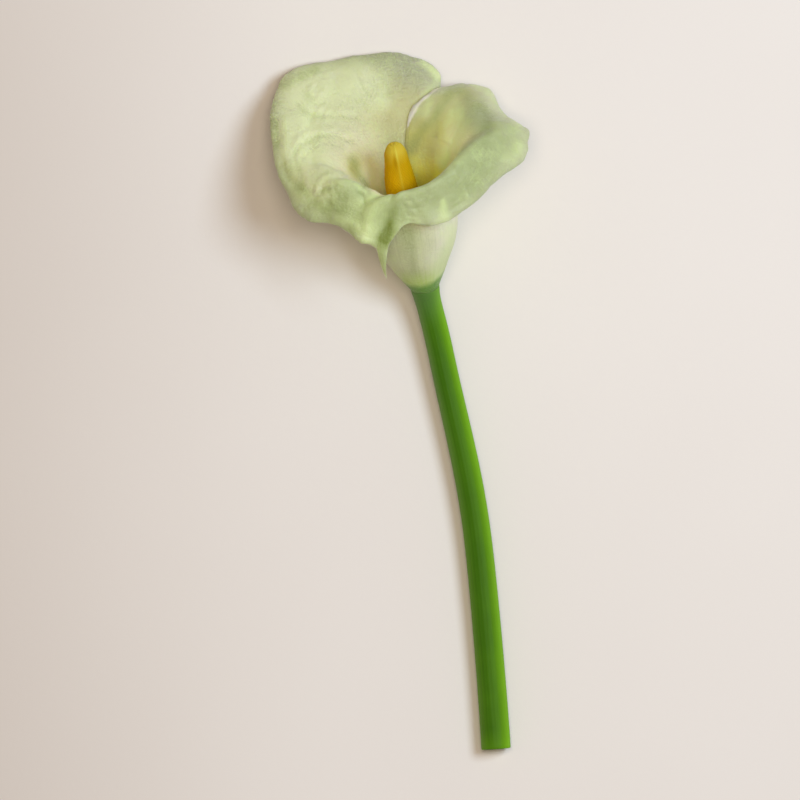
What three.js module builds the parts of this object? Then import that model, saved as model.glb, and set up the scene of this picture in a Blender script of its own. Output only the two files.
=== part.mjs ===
import * as THREE from 'three';

// Calla lily flower lying on a table, in millimetres.
// X runs to the right, Y from the cut end of the stem towards the flower, Z up from the table.
// The origin is on the table, under the middle of the flower's box.

// Flower base: where the spathe leaves the stem, and how its axis leans
const base = { x: 10.7, y: 47.5, z: 17 };
const axisLean = 9.5;
const axisRise = 32;

// Stem
const stemRadiusCut = 6.2;
const stemRadiusTop = 5.3;
const stemSides = 20;
const collarRadius = 5.7;
const receptacleRadius = 3.75;
const receptacleHeight = 4.4;
const seamGap = 0.3;

// Centre line of the stem from its cut end to the flower: x, y, z
const stemLine = [
  [40.7, -147, 6.12],
  [38.2, -113, 6.6],
  [35.5, -82, 7.1],
  [31.9, -50.4, 7.7],
  [26.0, -18.9, 8.5],
  [18.9, 12.6, 9.6],
  [15.2, 29.4, 11.1],
  [12.4, 40.3, 13.6],
  [10.7, 47.5, 17]
];

// Spathe: one rolled blade, thinner at its rim
const bladeThickness = 1.1;
const rimThickness = 0.8;
const layerStep = 1.9;

// Funnel of the spathe: radius and height along the flower axis
const funnel = [
  [5.7, 0.6],
  [7.2, 4],
  [9.4, 8.2],
  [13.1, 16],
  [16.1, 23],
  [17.8, 31],
  [18.8, 40],
  [20.2, 49]
];
const funnelSway = -0.5;
const throatRadius = 22.9;
const throatFrontPinch = 2.2;

// Meridians of the flare, from the inner margin on the right, past the pointed tip in
// front, to the outer margin on the left: direction round the throat in degrees, height
// of the throat, edge x, y, z, how far the blade arches up midway, how far the rim turns down
const meridians = [
  [180, 58, 14.3, 131.5, 17, 4, 1.5],
  [160, 58, 23.1, 133.6, 14, 5, 4],
  [140, 58, 32.3, 133.8, 6, 6, 7],
  [120, 58, 42.0, 126.4, 18, 7, 5],
  [102, 59.5, 55.0, 114.2, 36, 9.5, 3],
  [86, 62, 54.2, 104.6, 42, 10, 3],
  [70, 62, 45.4, 97.4, 51, 10.5, 4],
  [52, 62, 34.4, 85.7, 60, 11.5, 4],
  [34, 60.5, 23.5, 77.3, 64, 10.5, 3],
  [16, 58.5, 10.5, 73.9, 66, 9.5, 1.8],
  [2, 58, 0.8, 72.3, 66.6, 8.8, 1],
  [-5, 58, -3.2, 67.4, 65.8, 8, 0.4],
  [-10, 58, -6.9, 63.6, 64.6, 7.4, 0.3],
  [-15, 58, -10.4, 64.4, 64.6, 8, 0.4],
  [-32, 58.5, -21, 69.1, 63, 8.8, 2],
  [-52, 60, -34, 75.2, 57, 12, 3],
  [-72, 60, -43.7, 84, 49, 8.3, 4],
  [-92, 58, -52.1, 100, 37, 4, 5],
  [-112, 58, -54.6, 115.5, 25, 3, 5],
  [-132, 58, -51.6, 132.7, 12, 3, 6],
  [-150, 58, -39.9, 140.3, 6, 4, 6],
  [-166, 58, -23.9, 143.9, 5.5, 4, 5],
  [-184, 58, -8.4, 147, 5.5, 3, 4],
  [-202, 58, 5.5, 144.9, 6.5, 1, 3],
  [-220, 58, 16.8, 136.1, 6.5, -1, 1]
];
const shoulderLift = 0.35;
const stepsPerMeridian = 3;
const stepsByTip = 5;
const funnelRows = 10;
const flareRows = 19;

// Tip of the spathe: a narrow tongue that curls down over the funnel
const tipDirection = -10;
const tipHalfWidth = 3.8;
const tipDraw = new THREE.Vector3(-2.2, -12.7, 0);
const tipBend = new THREE.Vector3(0.0145, 0, -0.043);
const tipBendStart = 67;
const creaseDepth = 1.2;
const creaseWidth = 6;

// Folds of the flare: direction, share of the way to the rim, width round, width along, height
const folds = [
  [-126, 0.5, 26, 0.07, 0.7],
  [-100, 0.44, 22, 0.08, 0.9],
  [-84, 0.34, 7, 0.12, -1.6],
  [-64, 0.62, 5, 0.3, 0.6],
  [-40, 0.7, 6, 0.3, -0.6],
  [27, 0.85, 7, 0.25, 0.7],
  [62, 0.75, 6, 0.25, -0.6]
];

// Waves along the rim
const waveHeight = 0.7;

// Spadix: a finger of florets on the receptacle
const spadixBottom = receptacleHeight + seamGap;
const spadixTop = 74;
const spadixRadius = 5.7;
const spadixShift = -0.6;
const spadixLean = -2.4;
const floretsRound = 15;
const floretRows = 44;
const floretHeight = 0.35;

const lean = THREE.MathUtils.degToRad(axisLean);
const rise = THREE.MathUtils.degToRad(axisRise);
const side = new THREE.Vector3(Math.cos(lean), Math.sin(lean), 0);
const along = new THREE.Vector3(
  -Math.sin(lean) * Math.cos(rise),
  Math.cos(lean) * Math.cos(rise),
  Math.sin(rise)
);
const front = new THREE.Vector3().crossVectors(along, side).negate();

// A point given by its side, front and height in the flower
function flowerPoint(sideways, forward, height) {
  return new THREE.Vector3(base.x, base.y, base.z)
    .addScaledVector(side, sideways)
    .addScaledVector(front, forward)
    .addScaledVector(along, height);
}

function ringPoint(direction, radius, height) {
  const angle = THREE.MathUtils.degToRad(direction);
  const sway = funnelSway * Math.sin(Math.min(height / 32, 1) * Math.PI);
  return flowerPoint(radius * Math.sin(angle) + sway, radius * Math.cos(angle), height);
}

function smoothStep(low, high, value) {
  return THREE.MathUtils.smoothstep(value, low, high);
}

// Natural cubic spline through numbers at rising knots
function splineThrough(knots, values) {
  const last = knots.length - 1;
  const bend = new Array(last + 1).fill(0);
  const carry = new Array(last + 1).fill(0);
  for (let i = 1; i < last; i += 1) {
    const before = knots[i] - knots[i - 1];
    const after = knots[i + 1] - knots[i];
    const slopeChange = (values[i + 1] - values[i]) / after - (values[i] - values[i - 1]) / before;
    const pivot = 2 * (before + after) - before * carry[i - 1];
    carry[i] = after / pivot;
    bend[i] = (6 * slopeChange - before * bend[i - 1]) / pivot;
  }
  for (let i = last - 1; i > 0; i -= 1) {
    bend[i] -= carry[i] * bend[i + 1];
  }
  return function valueAt(t) {
    let i = 0;
    while (i < last - 1 && t > knots[i + 1]) {
      i += 1;
    }
    const width = knots[i + 1] - knots[i];
    const a = (knots[i + 1] - t) / width;
    const b = (t - knots[i]) / width;
    const curve = (a * a * a - a) * bend[i] + (b * b * b - b) * bend[i + 1];
    return a * values[i] + b * values[i + 1] + (curve * width * width) / 6;
  };
}

function curveThrough(knots, points) {
  const x = splineThrough(knots, points.map((point) => point.x));
  const y = splineThrough(knots, points.map((point) => point.y));
  const z = splineThrough(knots, points.map((point) => point.z));
  return (t) => new THREE.Vector3(x(t), y(t), z(t));
}

function chordKnots(points) {
  const knots = [0];
  for (let i = 1; i < points.length; i += 1) {
    knots.push(knots[i - 1] + Math.sqrt(points[i].distanceTo(points[i - 1])));
  }
  return knots;
}

// Points spaced evenly along a stretch of a curve
function evenPoints(curve, from, to, steps) {
  const samples = 160;
  const lengths = [0];
  let before = curve(from);
  for (let k = 1; k <= samples; k += 1) {
    const here = curve(THREE.MathUtils.lerp(from, to, k / samples));
    lengths.push(lengths[k - 1] + here.distanceTo(before));
    before = here;
  }
  const points = [];
  let k = 0;
  for (let i = 0; i <= steps; i += 1) {
    const wanted = (lengths[samples] * i) / steps;
    while (k < samples - 1 && lengths[k + 1] < wanted) {
      k += 1;
    }
    const share = (wanted - lengths[k]) / (lengths[k + 1] - lengths[k]);
    points.push(curve(THREE.MathUtils.lerp(from, to, (k + share) / samples)));
  }
  return points;
}

// A closed solid from its corners and triangles
function solid(corners, triangles) {
  const geometry = new THREE.BufferGeometry();
  geometry.setAttribute('position', new THREE.Float32BufferAttribute(corners.flatMap((p) => [p.x, p.y, p.z]), 3));
  geometry.setIndex(triangles.flat());
  geometry.computeVertexNormals();
  return geometry;
}

// Triangles of a stack of equal rings, closed by a point below and a point above
function ringTriangles(rings, sides) {
  const triangles = [];
  const bottom = rings * sides;
  const top = bottom + 1;
  for (let j = 0; j < sides; j += 1) {
    const next = (j + 1) % sides;
    triangles.push([bottom, next, j]);
    for (let i = 0; i < rings - 1; i += 1) {
      const a = i * sides + j;
      const b = i * sides + next;
      triangles.push([a, b, b + sides], [a, b + sides, a + sides]);
    }
    triangles.push([top, (rings - 1) * sides + j, (rings - 1) * sides + next]);
  }
  return triangles;
}

// Stem: a round stalk swept along its line, a collar at the flower and a stub inside it
function stemGeometry() {
  const points = stemLine.map((p) => new THREE.Vector3(...p));
  const tail = flowerPoint(0, 0, receptacleHeight);
  points.push(tail);
  const knots = [0];
  for (let i = 1; i < points.length; i += 1) {
    knots.push(knots[i - 1] + points[i].distanceTo(points[i - 1]));
  }
  const curve = curveThrough(knots, points);
  const length = knots[knots.length - 2];
  const end = knots[knots.length - 1];
  const profile = [[0, stemRadiusCut - 0.35], [0.35, stemRadiusCut]];
  for (let i = 1; i <= 26; i += 1) {
    const s = (i / 26) * (length - 5);
    profile.push([s, THREE.MathUtils.lerp(stemRadiusCut, stemRadiusTop, s / length)]);
  }
  profile.push([length - 3, stemRadiusTop + 0.1]);
  profile.push([length - 1.6, collarRadius]);
  profile.push([length - 0.3, collarRadius]);
  profile.push([length + 0.1, collarRadius - 0.4]);
  profile.push([length + 0.15, receptacleRadius + 0.1]);
  profile.push([length + 0.6, receptacleRadius]);
  profile.push([end - 0.5, receptacleRadius]);
  profile.push([end, receptacleRadius - 0.5]);
  const corners = [];
  for (const [s, radius] of profile) {
    const here = curve(s);
    const tangent = curve(Math.min(s + 0.5, end)).sub(curve(Math.max(s - 0.5, 0))).normalize();
    const across = new THREE.Vector3(0, 0, 1).cross(tangent).normalize();
    const up = new THREE.Vector3().crossVectors(tangent, across);
    for (let j = 0; j < stemSides; j += 1) {
      const angle = ((j + 0.5) / stemSides) * Math.PI * 2;
      corners.push(here.clone()
        .addScaledVector(across, radius * Math.cos(angle))
        .addScaledVector(up, radius * Math.sin(angle)));
    }
  }
  corners.push(curve(0), curve(end));
  return solid(corners, ringTriangles(profile.length, stemSides));
}

// Spadix: rings of small bumps, each ring turned half a floret from the one below
function spadixGeometry() {
  const sides = floretsRound * 2;
  const corners = [];
  const length = spadixTop - spadixBottom;
  const spadixPoint = (angle, radius, height) => flowerPoint(
    radius * Math.sin(angle) + spadixShift * smoothStep(10, 50, height)
      + (height - spadixBottom) * Math.tan(THREE.MathUtils.degToRad(spadixLean)),
    radius * Math.cos(angle),
    height
  );
  for (let i = 0; i <= floretRows; i += 1) {
    const t = i / floretRows;
    const height = spadixBottom + length * (0.008 + 0.987 * t);
    const taper = THREE.MathUtils.lerp(1, 0.84, smoothStep(0.35, 0.95, t));
    const domeStart = 0.93;
    const dome = t < domeStart ? 1 : Math.sqrt(Math.max(0, 1 - ((t - domeStart) / (1.01 - domeStart)) ** 2));
    const foot = THREE.MathUtils.lerp(0.86, 1, smoothStep(0, 0.05, t));
    const relief = floretHeight * smoothStep(0, 0.04, t) * dome;
    for (let j = 0; j < sides; j += 1) {
      const angle = (j / sides) * Math.PI * 2 + i * 0.05;
      const bump = (i + j) % 2 === 0 ? relief : -relief;
      corners.push(spadixPoint(angle, spadixRadius * taper * dome * foot + bump, height));
    }
  }
  corners.push(spadixPoint(0, 0, spadixBottom), spadixPoint(0, 0, spadixTop));
  return solid(corners, ringTriangles(floretRows + 1, sides));
}

// Middle of the blade: rows of points from the stem to the rim, one list per meridian
function bladeRows() {
  const directions = meridians.map((row) => -row[0]);
  const first = directions[0];
  const final = directions[directions.length - 1];
  const layer = (direction) => {
    const inner = 1 - smoothStep(first + 40, first + 110, direction);
    const outer = smoothStep(final - 110, final - 40, direction);
    return (outer - inner) * layerStep * 0.5;
  };
  const heart = flowerPoint(0, 0, 58);
  const rows = funnel.map(([radius, height]) => meridians.map(
    (row, i) => ringPoint(row[0], radius + layer(directions[i]), height)
  ));
  const throat = meridians.map((row, i) => {
    const pinch = throatFrontPinch * Math.cos(THREE.MathUtils.degToRad(row[0]));
    return ringPoint(row[0], throatRadius - pinch + layer(directions[i]), row[1]);
  });
  const edge = meridians.map((row) => new THREE.Vector3(row[2], row[3], row[4]));
  const middle = meridians.map((row, i) => {
    const share = 0.5 - 0.12 * Math.exp(-(((row[0] - tipDirection) / 9) ** 2));
    return throat[i].clone().lerp(edge[i], share).addScaledVector(along, row[5]);
  });
  const rim = meridians.map((row, i) => {
    const inward = heart.clone().sub(edge[i]).setZ(0).normalize();
    const curl = 0.45 * row[6] - 1.1 * Math.exp(-row[6]);
    return edge[i].clone().addScaledVector(inward, curl).setZ(edge[i].z - 0.9 * row[6]);
  });
  const shoulder = meridians.map((row, i) => middle[i].clone().lerp(edge[i], 0.62)
    .addScaledVector(along, shoulderLift * row[6]));
  rows.push(throat, middle, shoulder, edge, rim);
  return rows.map((row) => curveThrough(directions, row));
}

function bladeMiddle() {
  const rows = bladeRows();
  const grid = [];
  for (let m = 0; m < meridians.length - 1; m += 1) {
    const from = -meridians[m][0];
    const to = -meridians[m + 1][0];
    const byTip = from === -tipDirection || to === -tipDirection;
    const steps = byTip ? stepsByTip : stepsPerMeridian;
    const isLast = m === meridians.length - 2;
    for (let s = 0; s < steps + (isLast ? 1 : 0); s += 1) {
      const direction = THREE.MathUtils.lerp(from, to, s / steps);
      const stations = rows.map((row) => row(direction));
      const knots = chordKnots(stations);
      const curve = curveThrough(knots, stations);
      const throatKnot = knots[funnel.length];
      const rimKnot = knots[knots.length - 1];
      const line = evenPoints(curve, 0, throatKnot, funnelRows);
      line.pop();
      line.push(...evenPoints(curve, throatKnot, rimKnot, flareRows));
      grid.push({ direction: -direction, line });
    }
  }
  return grid;
}

// Unit normals of the grid, pointing to the outside of the flower, evened out between neighbours
function bladeNormals(lines, rounds) {
  const lastLine = lines.length - 1;
  const lastRow = lines[0].length - 1;
  let normals = lines.map((line, i) => line.map((point, j) => {
    const left = lines[Math.max(i - 1, 0)][j];
    const right = lines[Math.min(i + 1, lastLine)][j];
    const down = line[Math.max(j - 1, 0)];
    const up = line[Math.min(j + 1, lastRow)];
    const round = right.clone().sub(left);
    return up.clone().sub(down).cross(round).normalize();
  }));
  for (let k = 0; k < rounds; k += 1) {
    const before = normals;
    normals = before.map((line, i) => line.map((normal, j) => normal.clone()
      .add(before[Math.max(i - 1, 0)][j])
      .add(before[Math.min(i + 1, lastLine)][j])
      .add(line[Math.max(j - 1, 0)])
      .add(line[Math.min(j + 1, lastRow)])
      .normalize()));
  }
  return normals;
}

function foldHeight(direction, reach) {
  let height = 0;
  for (const [centre, level, wide, long, rise] of folds) {
    const round = (direction - centre) / wide;
    const out = (reach - level) / long;
    height += rise * Math.exp(-round * round - out * out);
  }
  return height;
}

// How far a point of the blade is drawn out into the tip, from 0 to 1
function tipShare(direction, reach) {
  const away = Math.abs(direction - tipDirection);
  const tongue = Math.max(0, 1 - away / tipHalfWidth) ** 1.2;
  return tongue * smoothStep(0.62, 1, reach) ** 1.2;
}

// The blade with its crease, folds and waves, and the direction and reach of each point
function shapedBlade() {
  const grid = bladeMiddle();
  const lastRow = grid[0].line.length - 1;
  const normals = bladeNormals(grid.map((meridian) => meridian.line), 1);
  return grid.map((meridian, i) => meridian.line.map((point, j) => {
    const direction = meridian.direction;
    const reach = Math.max(0, (j - funnelRows) / (lastRow - funnelRows));
    const away = Math.abs(direction - tipDirection);
    const valley = smoothStep(0.2, 0.5, reach) * (1 - smoothStep(0.55, 0.85, reach));
    const crease = Math.exp(-((away / creaseWidth) ** 2)) * valley * creaseDepth;
    const wave = Math.sin(direction * 0.14 + 1) + 0.6 * Math.sin(direction * 0.23);
    const inMargin = Math.min(180 - direction, direction + 220);
    const calm = smoothStep(0, 40, inMargin) * smoothStep(5, 25, away);
    const sway = wave * waveHeight * smoothStep(0.55, 1, reach) * calm;
    const lift = sway + crease + foldHeight(direction, reach);
    return { direction, reach, point: point.clone().addScaledVector(normals[i][j], lift) };
  }));
}

// Spathe: the blade given its thickness, both faces split into triangles alike
function spatheGeometry() {
  const blade = shapedBlade();
  const normals = bladeNormals(blade.map((line) => line.map((spot) => spot.point)), 1);
  const columns = blade.length;
  const rows = blade[0].length;
  const corners = [];
  for (const face of [0.5, -0.5]) {
    for (let i = 0; i < columns; i += 1) {
      for (let j = 0; j < rows; j += 1) {
        const { direction, reach, point } = blade[i][j];
        const drawn = tipShare(direction, reach);
        const placed = point.clone().addScaledVector(tipDraw, drawn);
        const away = Math.abs(direction - tipDirection);
        const nearTip = smoothStep(0.4, 0.6, reach) * (1 - smoothStep(5, 14, away));
        const past = Math.max(0, tipBendStart - placed.y) * nearTip;
        const slope = tipDraw.clone().normalize().addScaledVector(tipBend, 2 * past);
        const tipNormal = side.clone().cross(slope).normalize();
        const normal = normals[i][j].clone().lerp(tipNormal, smoothStep(0, 0.15, drawn)).normalize();
        const thickness = THREE.MathUtils.lerp(bladeThickness, rimThickness, reach);
        corners.push(placed
          .addScaledVector(tipBend, past * past)
          .addScaledVector(normal, face * thickness));
      }
    }
  }
  const back = columns * rows;
  const triangles = [];
  const wall = (a, b) => triangles.push([a, b, b + back], [a, b + back, a + back]);
  for (let i = 0; i < columns - 1; i += 1) {
    for (let j = 0; j < rows - 1; j += 1) {
      const a = i * rows + j;
      const b = a + rows;
      triangles.push([a, a + 1, b + 1], [a, b + 1, b]);
      triangles.push([a + back, b + 1 + back, a + 1 + back], [a + back, b + back, b + 1 + back]);
    }
    wall(i * rows, (i + 1) * rows);
    wall((i + 2) * rows - 1, (i + 1) * rows - 1);
  }
  for (let j = 0; j < rows - 1; j += 1) {
    wall(j + 1, j);
    wall((columns - 1) * rows + j, (columns - 1) * rows + j + 1);
  }
  return solid(corners, triangles);
}

function piece(name, geometry, colour, roughness) {
  const material = new THREE.MeshStandardMaterial({ color: colour, roughness, metalness: 0 });
  const mesh = new THREE.Mesh(geometry, material);
  mesh.name = name;
  return mesh;
}

const flower = new THREE.Group();
flower.name = 'calla_lily_flower';
flower.add(piece('stem', stemGeometry(), 0x5f9330, 0.45));
flower.add(piece('spathe', spatheGeometry(), 0xd3dcae, 0.55));
flower.add(piece('spadix', spadixGeometry(), 0xd9a812, 0.75));

const box = new THREE.Box3().setFromObject(flower);
const middle = box.getCenter(new THREE.Vector3());
flower.children.forEach((mesh) => mesh.geometry.translate(-middle.x, -middle.y, -box.min.z));

export default flower;
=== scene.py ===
import math

import bmesh
import bpy
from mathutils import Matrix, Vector, geometry, noise


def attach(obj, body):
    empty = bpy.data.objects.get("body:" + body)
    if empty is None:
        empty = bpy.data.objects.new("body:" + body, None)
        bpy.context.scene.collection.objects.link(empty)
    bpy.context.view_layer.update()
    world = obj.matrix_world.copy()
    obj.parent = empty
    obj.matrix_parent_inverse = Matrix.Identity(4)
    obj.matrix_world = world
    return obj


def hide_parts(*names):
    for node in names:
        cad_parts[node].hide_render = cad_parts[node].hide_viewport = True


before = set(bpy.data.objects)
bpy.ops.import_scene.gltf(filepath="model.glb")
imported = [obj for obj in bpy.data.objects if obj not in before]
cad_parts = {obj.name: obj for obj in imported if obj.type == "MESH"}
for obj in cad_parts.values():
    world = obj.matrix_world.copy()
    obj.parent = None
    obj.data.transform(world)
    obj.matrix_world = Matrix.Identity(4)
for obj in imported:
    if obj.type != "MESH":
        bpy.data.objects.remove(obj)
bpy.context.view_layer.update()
print("frame loaded")

mm = 0.001
frameShift = Vector((-0.2, 0.0, 0.0))  # the origin lies under the middle of the flower's box

# The bloom: where it leaves the stem, and how its axis leans. Shapes are worked out in millimetres
bloom = {
    "base": Vector((10.7, 47.5, 17.0)),
    "lean": math.radians(9.5),
    "rise": math.radians(32),
}
sideways = Vector((math.cos(bloom["lean"]), math.sin(bloom["lean"]), 0))
along = Vector((
    -math.sin(bloom["lean"]) * math.cos(bloom["rise"]),
    math.cos(bloom["lean"]) * math.cos(bloom["rise"]),
    math.sin(bloom["rise"]),
))
forward = sideways.cross(along)


def bloomPoint(side, front, height):
    return bloom["base"] + sideways * side + forward * front + along * height


def smoothStep(low, high, value):
    t = min(1.0, max(0.0, (value - low) / (high - low)))
    return t * t * (3 - 2 * t)


def mixed(a, b, share):
    return a + (b - a) * share


def bell(value, centre, width):
    return math.exp(-(((value - centre) / width) ** 2))


# A smooth curve through points at rising knots
def curveThrough(knots, points):
    last = len(knots) - 1
    bend = [points[0] * 0 for _ in points]
    carry = [0.0] * (last + 1)
    for i in range(1, last):
        before = knots[i] - knots[i - 1]
        after = knots[i + 1] - knots[i]
        change = (points[i + 1] - points[i]) / after - (points[i] - points[i - 1]) / before
        pivot = 2 * (before + after) - before * carry[i - 1]
        carry[i] = after / pivot
        bend[i] = (change * 6 - bend[i - 1] * before) / pivot
    for i in range(last - 1, 0, -1):
        bend[i] = bend[i] - bend[i + 1] * carry[i]

    def pointAt(t):
        i = 0
        while i < last - 1 and t > knots[i + 1]:
            i += 1
        width = knots[i + 1] - knots[i]
        a = (knots[i + 1] - t) / width
        b = (t - knots[i]) / width
        curve = bend[i] * (a * a * a - a) + bend[i + 1] * (b * b * b - b)
        return points[i] * a + points[i + 1] * b + curve * (width * width / 6)

    return pointAt


def rootKnots(points):
    knots = [0.0]
    for i in range(1, len(points)):
        knots.append(knots[-1] + math.sqrt((points[i] - points[i - 1]).length))
    return knots


# Points spaced evenly along a stretch of a curve
def evenPoints(curve, start, end, steps):
    samples = 160
    spots = [curve(mixed(start, end, k / samples)) for k in range(samples + 1)]
    lengths = [0.0]
    for k in range(1, samples + 1):
        lengths.append(lengths[-1] + (spots[k] - spots[k - 1]).length)
    points = []
    k = 0
    for i in range(steps + 1):
        wanted = lengths[-1] * i / steps
        while k < samples - 1 and lengths[k + 1] < wanted:
            k += 1
        share = (wanted - lengths[k]) / (lengths[k + 1] - lengths[k])
        points.append(spots[k].lerp(spots[k + 1], share))
    return points


# A flat grid to be bent into shape: each point with its column and its row
def gridPoints(bm, columns, rows):
    bm.loops.layers.uv.new("UVMap")
    bmesh.ops.create_grid(bm, x_segments=columns, y_segments=rows, size=1, calc_uvs=True)
    return [
        (vert, round((vert.co.x + 1) / 2 * columns), round((vert.co.y + 1) / 2 * rows))
        for vert in bm.verts
    ]


# Named numbers that each point carries for the materials
def newLayers(bm, *names):
    for name in names:
        bm.verts.layers.float.new(name)
    return [bm.verts.layers.float[name] for name in names]


def newPiece(name, bm, node, material):
    mesh = bpy.data.meshes.new(name)
    bm.to_mesh(mesh)
    bm.free()
    mesh.shade_smooth()
    piece = bpy.data.objects.new(name, mesh)
    bpy.context.scene.collection.objects.link(piece)
    mesh.materials.append(material)
    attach(piece, "root")
    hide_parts(node)
    return piece


# One output of a node, with the sums that a pattern is made of
class Socket:
    def __init__(self, shader, socket):
        self.shader = shader
        self.socket = socket

    def maths(self, operation, *others):
        return self.shader.node("ShaderNodeMath", {"operation": operation}, [self, *others])

    def __add__(self, other):
        return self.maths("ADD", other)

    def __radd__(self, other):
        return self.maths("ADD", other)

    def __sub__(self, other):
        return self.maths("SUBTRACT", other)

    def __rsub__(self, other):
        return self.shader.node("ShaderNodeMath", {"operation": "SUBTRACT"}, [other, self])

    def __mul__(self, other):
        return self.maths("MULTIPLY", other)

    def __rmul__(self, other):
        return self.maths("MULTIPLY", other)

    def __truediv__(self, other):
        return self.maths("DIVIDE", other)

    def sine(self):
        return self.maths("SINE")

    def cosine(self):
        return self.maths("COSINE")

    def clamped(self):
        settings = {"operation": "ADD", "use_clamp": True}
        return self.shader.node("ShaderNodeMath", settings, [self, 0.0])

    def bell(self, centre, width):
        offset = (self - centre) / width
        return (offset * offset * -1.0).maths("EXPONENT")

    def between(self, low, high):
        settings = {"interpolation_type": "SMOOTHSTEP"}
        return self.shader.node("ShaderNodeMapRange", settings, [self, low, high, 0.0, 1.0])


# The nodes of one material
class Shader:
    def __init__(self, name):
        self.material = bpy.data.materials.new(name)
        self.material.use_nodes = True
        self.tree = self.material.node_tree
        self.tree.nodes.clear()

    def node(self, kind, settings, values, output=0):
        made = self.tree.nodes.new(kind)
        for key, value in settings.items():
            setattr(made, key, value)
        pairs = values.items() if isinstance(values, dict) else enumerate(values)
        for key, value in pairs:
            if isinstance(value, Socket):
                self.tree.links.new(value.socket, made.inputs[key])
            else:
                made.inputs[key].default_value = value
        return Socket(self, made.outputs[output]) if len(made.outputs) else None

    def attribute(self, name):
        return self.node("ShaderNodeAttribute", {"attribute_name": name}, {}, "Fac")

    def place(self):
        return self.node("ShaderNodeTexCoord", {}, {}, "Object")

    def noise(self, vector, scale, detail=2.0, roughness=0.5):
        values = {"Vector": vector, "Scale": scale, "Detail": detail, "Roughness": roughness}
        return self.node("ShaderNodeTexNoise", {}, values, "Fac")

    def cells(self, vector, scale):
        return self.node("ShaderNodeTexVoronoi", {}, {"Vector": vector, "Scale": scale}, "Distance")

    def joined(self, x, y, z):
        return self.node("ShaderNodeCombineXYZ", {}, [x, y, z])

    def part(self, vector, axis):
        return self.node("ShaderNodeSeparateXYZ", {}, [vector], axis)

    def blend(self, share, first, second):
        ends = [end if isinstance(end, Socket) else (*end, 1) for end in (first, second)]
        values = {0: share, 6: ends[0], 7: ends[1]}  # a Mix node's factor and its two colours
        return self.node("ShaderNodeMix", {"data_type": "RGBA"}, values, 2)

    def bump(self, height, strength, distance):
        values = {"Height": height, "Strength": strength, "Distance": distance}
        return self.node("ShaderNodeBump", {}, values)

    def surface(self, values):
        made = self.node("ShaderNodeBsdfPrincipled", {}, values)
        self.node("ShaderNodeOutputMaterial", {}, {"Surface": made})
        return self.material


# A display colour, 0 to 255, as the linear one that a shader takes
def tone(red, green, blue):
    return tuple(
        ((c / 255 + 0.055) / 1.055) ** 2.4 if c > 10 else c / 255 / 12.92
        for c in (red, green, blue)
    )


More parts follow.
